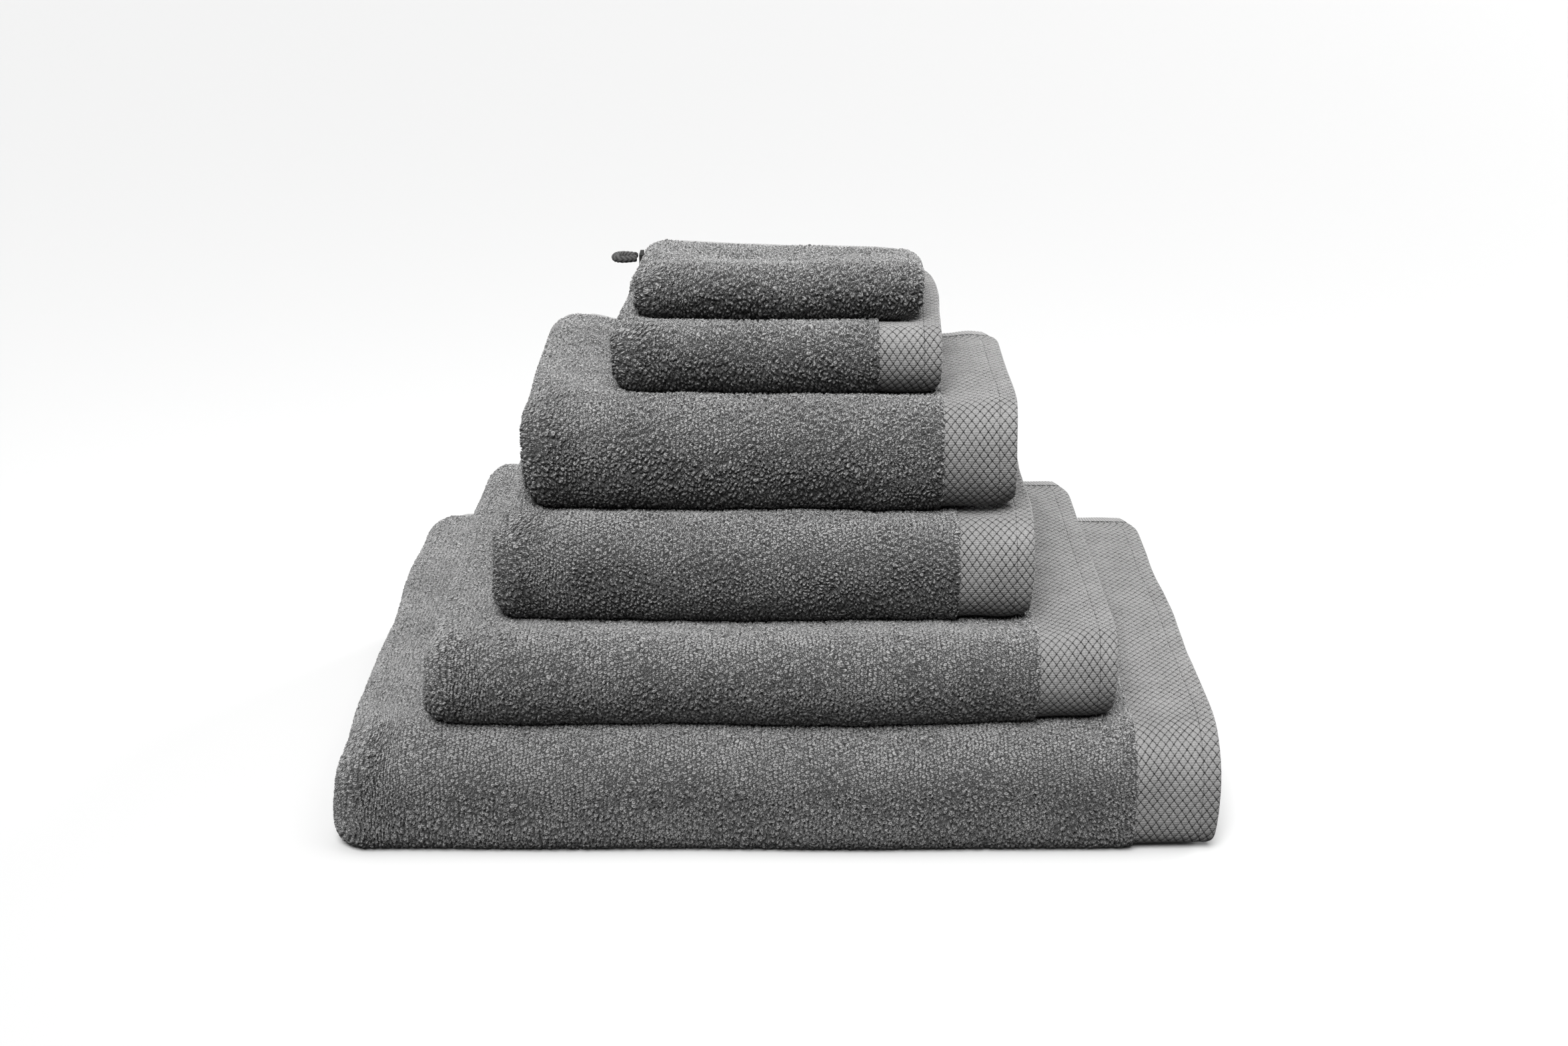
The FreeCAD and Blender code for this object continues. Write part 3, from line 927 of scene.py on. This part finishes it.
def mitt_pieces(stack, k):
    """The mitt's panels, seams and cuff hems."""
    mitt = stack[k]
    half, fine = mitt["ply"] / 2, mitt["step"]
    s_path, v_path = mitt_path(mitt), width_path(mitt)
    ends, long, wide = s_path.ends, s_path.length, v_path.length
    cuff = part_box("wash_mitt_cuff_hem_outer")
    hem = cuff[1].y - cuff[0].y
    pile = terry_relief(mitt["seed"], mitt["rough"])

    # The seams' loops fade out towards the cuff, and the terry's colour darkens with them to near black,
    # the painted shade of the gaps between loops.
    def seam_pile(s, v):
        return pile(s, v) * smooth(0.5 * hem, hem, v)

    built = {}
    for part, start, relief, size, low, high in (
        ("outer_panel", hem, pile, fine, ends[0], ends[1]),
        ("left_seam", 0.0, seam_pile, fine, ends[1], ends[2]),
        # The inner panel has no loops and so a pile of 0, which the terry's colour paints near black:
        # painted shade inside the mitt.
        ("inner_panel", hem, no_relief, 4 * MM, ends[2], ends[3]),
        ("right_seam", 0.0, seam_pile, fine, ends[3], ends[4]),
    ):
        cloth = Cloth(stack, k, s_path, v_path)
        rounds = (0, 0, 1.5 * MM, 3 * MM)
        s = spaced([0, long], [size], low, high)
        v = spaced(v_path.ends, (fine, fine, 2 * MM), start, wide, rounds[2:])
        cloth.slab(s, v, half - MITT_IN, relief, WHOLE_MAP, rounds, 4 if size == fine else 1)
        node = f"wash_mitt_{part}"
        built[part] = placed(cloth.build(f"{node}_cloth"), "wash_mitt", node, "terry_loops")
    rounds = (0, 0, 2 * MM, 1 * MM)
    v = spaced([0, hem], [1 * MM], 0, hem, rounds[2:])
    for part, low, high in (("outer", ends[0], ends[1]), ("inner", ends[2], ends[3])):
        cloth = Cloth(stack, k, s_path, v_path, FLAT_WANDER)
        s = spaced([0, long], [0.6 * MM], low, high)
        cloth.slab(s, v, half - CUFF_IN, hem_ribs, WHOLE_MAP, rounds)
        node = f"wash_mitt_cuff_hem_{part}"
        built[node] = placed(cloth.build(f"{node}_cloth"), "wash_mitt", node, "stitched_hem")
    outer, inner = built.pop("outer_panel"), built.pop("inner_panel")


# ---- Hanging loop ----

# The loop's route from its hinge line in mm, seen from above. It goes out from the seam and back in.
LOOP_ROUTE = [
    (0.0, -3.2), (-4.3, -6.2), (-9.8, -5.6), (-11.6, 0.2), (-9.7, 5.7), (-4.2, 6.1), (0.0, 3.2),
]
LOOP_DIAMETER = 3.8 * MM
LOOP_STITCH = 2.3 * MM
LOOP_SIDES = 24


def route_line(points):
    """Points close together on the NURBS spline of a route."""
    curve = bpy.data.curves.new("route", "CURVE")
    curve.dimensions = "3D"
    curve.resolution_u = 36
    spline = curve.splines.new("NURBS")
    spline.points.add(len(points) - 1)
    for place, point in zip(spline.points, points):
        place.co = (*point, 1.0)
    spline.order_u = 3
    spline.use_endpoint_u = True
    holder = bpy.data.objects.new("route", curve)
    mesh = bpy.data.meshes.new_from_object(holder)
    line = np.array([v.co for v in mesh.vertices])
    bpy.data.objects.remove(holder)
    bpy.data.curves.remove(curve)
    bpy.data.meshes.remove(mesh)
    return line


def knitted_tube(name, line, diameter):
    """A tube along a level line with the chain of V stitches of a knitted cord."""
    ahead = np.gradient(line, axis=0)
    ahead /= np.linalg.norm(ahead, axis=1)[:, None]
    side = np.cross(ahead, (0, 0, 1))
    along = np.concatenate([[0], np.cumsum(np.linalg.norm(np.diff(line, axis=0), axis=1))])
    angle = np.linspace(-math.pi, math.pi, LOOP_SIDES + 1)[:-1]
    slant = np.abs(((angle / math.pi * 2 + 1) % 2) - 1)
    phase = along[:, None] / LOOP_STITCH - 0.9 * slant[None, :]
    stitch = np.sqrt(np.abs(np.sin(phase * math.pi)))
    radius = diameter / 2 * (0.8 + 0.2 * stitch)
    around = np.cos(angle)[None, :, None] * side[:, None, :]
    around = around + np.sin(angle)[None, :, None] * np.array([0, 0, 1.0])
    points = line[:, None, :] + radius[:, :, None] * around
    rows, columns = radius.shape
    faces = []
    for i in range(rows - 1):
        for j in range(columns):
            a, b = i * columns + j, i * columns + (j + 1) % columns
            faces.append((a, a + columns, b + columns, b))
    faces.append(tuple(range(columns)))
    faces.append(tuple(reversed(range((rows - 1) * columns, rows * columns))))
    mesh = bpy.data.meshes.new(name)
    mesh.from_pydata([tuple(p) for p in points.reshape(-1, 3)], [], faces)
    mesh.update()
    attribute = mesh.attributes.new("pile", "FLOAT", "POINT")
    attribute.data.foreach_set("value", stitch.astype(np.float32).ravel())
    wrap_tube(mesh, along, angle, diameter)
    mesh.polygons.foreach_set("use_smooth", np.ones(len(mesh.polygons), bool))
    return in_scene(name, mesh)


def wrap_tube(mesh, along, angle, diameter):
    """The two UV maps of a tube with a flat face at each end."""
    columns = len(angle)
    for layer in ("cloth", "OFBake"):
        mesh.uv_layers.new(name=layer)
    cloth, bake = mesh.uv_layers["cloth"], mesh.uv_layers["OFBake"]
    for face in mesh.polygons:
        is_side = len(face.vertices) == 4
        crosses = is_side and any(v % columns == columns - 1 for v in face.vertices)
        for loop, vertex in zip(face.loop_indices, face.vertices):
            i, j = divmod(vertex, columns)
            turn = angle[j] / (2 * math.pi) + 0.5 + (1.0 if crosses and j == 0 else 0.0)
            cloth.data[loop].uv = (along[i], turn * math.pi * diameter)
            if is_side:
                bake.data[loop].uv = (0.9 * along[i] / along[-1], turn)
            else:
                high = 0.3 if i else 0.1
                bake.data[loop].uv = (0.95 + 0.02 * math.cos(angle[j]), high + 0.02 * math.sin(angle[j]))


def hanging_loop():
    hinge = next(j for j in frame["joints"] if j["child"] == "hanging_loop")["pos_m"]
    points = [(hinge[0] + dx * MM, hinge[1] + dy * MM, hinge[2]) for dx, dy in LOOP_ROUTE]
    line = route_line(points)
    loop = knitted_tube("hanging_loop_knit", line, LOOP_DIAMETER)
    placed(loop, "hanging_loop", "hanging_loop", "loop_cord")
    for slot in frame["nodes"]["loop_bar_tack"].material_slots:
        slot.material = MATERIALS["loop_cord"]


# ---- The whole stack ----

stack = [folded(name, [f"{name}_terry", f"{name}_end_hem"], facts) for name, facts in TOWELS.items()]
stack.append(folded("wash_mitt", [n for n in frame["nodes"] if n.startswith("wash_mitt")], MITT))

for k in range(len(TOWELS)):
    towel_pieces(stack, k)
mitt_pieces(stack, len(TOWELS))
hanging_loop()


# ---- Floor, light and camera ----

FLOOR_HALF, FLOOR_LEVEL = 30.0, 0.29
WALL_SIDES, WALL_RADIUS, WALL_TOP, WALL_GLOW = 48, 28.0, 20.0, 0.95
WALL_FOOT = 0.5  # how far the wall goes down past the floor
PANEL_SIZE, PANEL_HIGH = (0.9, 0.6), 0.75
WORLD_GLOW = 0.2
CAMERA_PLACE, CAMERA_DOWN, CAMERA_LENS = (0.0035, -1.168, 0.5365), 19.55, 50.5


def plain_material(name, level, glow=0.0):
    """A dull grey, or with a glow a surface that shines evenly and mirrors nothing."""
    material = bpy.data.materials.new(name)
    material.use_nodes = True
    inputs = material.node_tree.nodes["Principled BSDF"].inputs
    inputs["Base Color"].default_value = (level, level, level, 1.0)
    inputs["Roughness"].default_value = 0.9
    if glow:
        inputs["Specular IOR Level"].default_value = 0.0
        inputs["Emission Color"].default_value = (1.0, 1.0, 1.0, 1.0)
        inputs["Emission Strength"].default_value = glow
    return material


def stage_piece(name, corners, faces, material):
    """A mesh of the studio, which throws no light back on the stack."""
    mesh = bpy.data.meshes.new(name)
    mesh.from_pydata(corners, [], faces)
    mesh.materials.append(material)
    piece = in_scene(name, mesh)
    piece.visible_diffuse = False
    return piece


def lamp(name, kind, energy, turned, place=(0.0, 0.0, 0.0)):
    """A light of a kind and strength, turned by some degrees about X, Y and Z."""
    light = bpy.data.lights.new(name, kind)
    light.energy = energy
    holder = in_scene(name, light)
    holder.location = place
    holder.rotation_euler = [math.radians(a) for a in turned]
    return light


ground = cad_box[0].z
square = [(-1, -1), (1, -1), (1, 1), (-1, 1)]
floor_corners = [(x * FLOOR_HALF, y * FLOOR_HALF, ground) for x, y in square]
stage_piece("floor", floor_corners, [(0, 1, 2, 3)], plain_material("pale_floor", FLOOR_LEVEL))

# a pale wall far round the floor, that only the camera sees
turns = np.linspace(0, 2 * math.pi, WALL_SIDES + 1)[:-1]
ring = [(WALL_RADIUS * math.cos(a), WALL_RADIUS * math.sin(a)) for a in turns]
wall = [(x, y, z) for z in (ground - WALL_FOOT, WALL_TOP) for x, y in ring]
after = [(i + 1) % WALL_SIDES for i in range(WALL_SIDES)]
wall_faces = [(i, j, WALL_SIDES + j, WALL_SIDES + i) for i, j in enumerate(after)]
backdrop = stage_piece("backdrop", wall, wall_faces, plain_material("pale_backdrop", 0.0, WALL_GLOW))
backdrop.visible_glossy = False
backdrop.visible_shadow = False

lamp("soft_overhead", "SUN", 9.7, (38, -6, 0)).angle = math.radians(32)
lamp("rear_fill", "SUN", 8.0, (-83, 0, -46)).angle = math.radians(24)
panel = lamp("top_panel", "AREA", 11.0, (18, 0, 0), (0.0, -0.25, cad_box[1].z + PANEL_HIGH))
panel.shape = "RECTANGLE"
panel.size, panel.size_y = PANEL_SIZE

world = bpy.data.worlds.new("studio")
world.use_nodes = True
sky = world.node_tree.nodes["Background"].inputs
sky["Color"].default_value = (1.0, 1.0, 1.0, 1.0)
sky["Strength"].default_value = WORLD_GLOW
bpy.context.scene.world = world

camera = bpy.data.cameras.new("camera")
camera.lens = CAMERA_LENS
camera.sensor_width = 36.0
camera_object = in_scene("camera", camera)
camera_object.location = CAMERA_PLACE
camera_object.rotation_euler = (math.radians(90 - CAMERA_DOWN), 0.0, 0.0)
bpy.context.scene.camera = camera_object
bpy.context.scene.view_settings.view_transform = "Standard"
